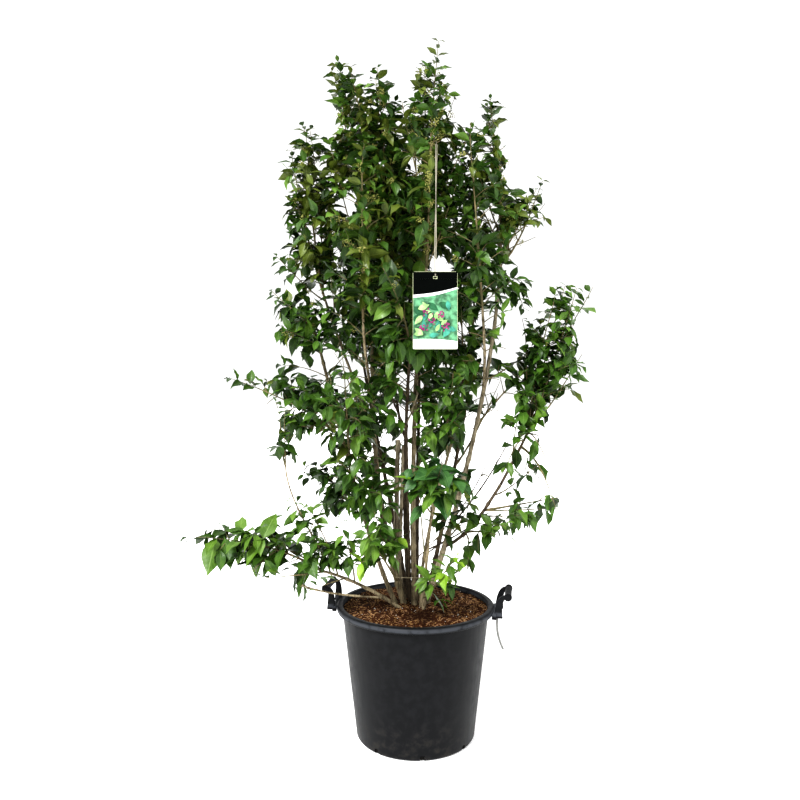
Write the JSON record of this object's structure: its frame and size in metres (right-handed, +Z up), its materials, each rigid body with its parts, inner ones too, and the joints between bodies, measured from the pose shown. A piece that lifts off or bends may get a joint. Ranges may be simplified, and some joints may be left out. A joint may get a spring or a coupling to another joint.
{
  "type": "potted shrub",
  "caption": "Tall multi-stemmed beautyberry shrub with drooping pointed leaves and young fruit, growing in a black nursery pot with two handles and a hang tag.",
  "frame": {"origin": "centre of the pot's flat underside, on the floor", "axes": "+Z up along the pot's axis, -Y towards the viewer of the picture, +X to the picture's right, towards the handle with the tie"},
  "size_m": [1.3232, 0.7638, 2.288],
  "materials": {
    "pot_plastic": "satin moulded charcoal-black plastic, lightly scuffed",
    "potting_mix": "loose red-brown coir and bark fibres, matt",
    "bark": "grey-tan young bark with pale specks, matt",
    "foliage": "soft mid-green leaves, dull satin",
    "tag_print": "printed plastic card, semi-gloss",
    "strap_plastic": "pale translucent strap, satin",
    "tie_plastic": "grey plastic strip, matt"
  },
  "bodies": {
    "root": {"pot": "pot_plastic", "soil": "potting_mix", "handle_right": "pot_plastic", "handle_left": "pot_plastic", "handle_tie": "tie_plastic", "tag": "tag_print", "tag_strap": "strap_plastic", "stem_left": "bark", "stem_outer_left": "bark", "stem_pruned": "bark", "stem_dark": "bark", "stem_centre": "bark", "stem_right_long": "bark", "stem_right_lean": "bark", "stem_right_inner": "bark", "stem_front": "bark", "stem_short": "bark", "stem_back_left": "bark", "stem_back": "bark", "stem_back_right": "bark", "arch_low_left": "bark", "twig_bare": "bark", "bough_far_left": "bark", "bough_centre_left": "bark", "bough_front": "bark", "bough_front_left": "bark", "bough_front_right": "bark", "twig_arching": "bark", "leaves_leader": "foliage", "leaves_left_top": "foliage", "leaves_left_second": "foliage", "leaves_far_left": "foliage", "leaves_left_mid": "foliage", "leaves_left_arm": "foliage", "leaves_left_drop": "foliage", "leaves_left_front": "foliage", "leaves_left_low": "foliage", "leaves_left_inner": "foliage", "branch_low_left": "foliage", "rosette_low_left": "foliage", "rosette_centre": "foliage", "sprig_pot_front": "foliage", "sprig_low_right": "foliage", "leaves_right_low": "foliage", "leaves_far_right": "foliage", "leaves_right_inner": "foliage", "arm_right_low": "foliage", "leaves_right_top": "foliage", "leaves_right_shoulder": "foliage", "leaves_front_top": "foliage", "leaves_front_right": "foliage", "leaves_front_left": "foliage", "leaves_centre_front": "foliage", "leaves_centre_right": "foliage", "leaves_right_mid": "foliage", "leaves_back_left": "foliage", "leaves_back": "foliage", "leaves_back_right": "foliage", "leaves_back_low_left": "foliage", "leaves_back_low_right": "foliage"}
  },
  "joints": []
}
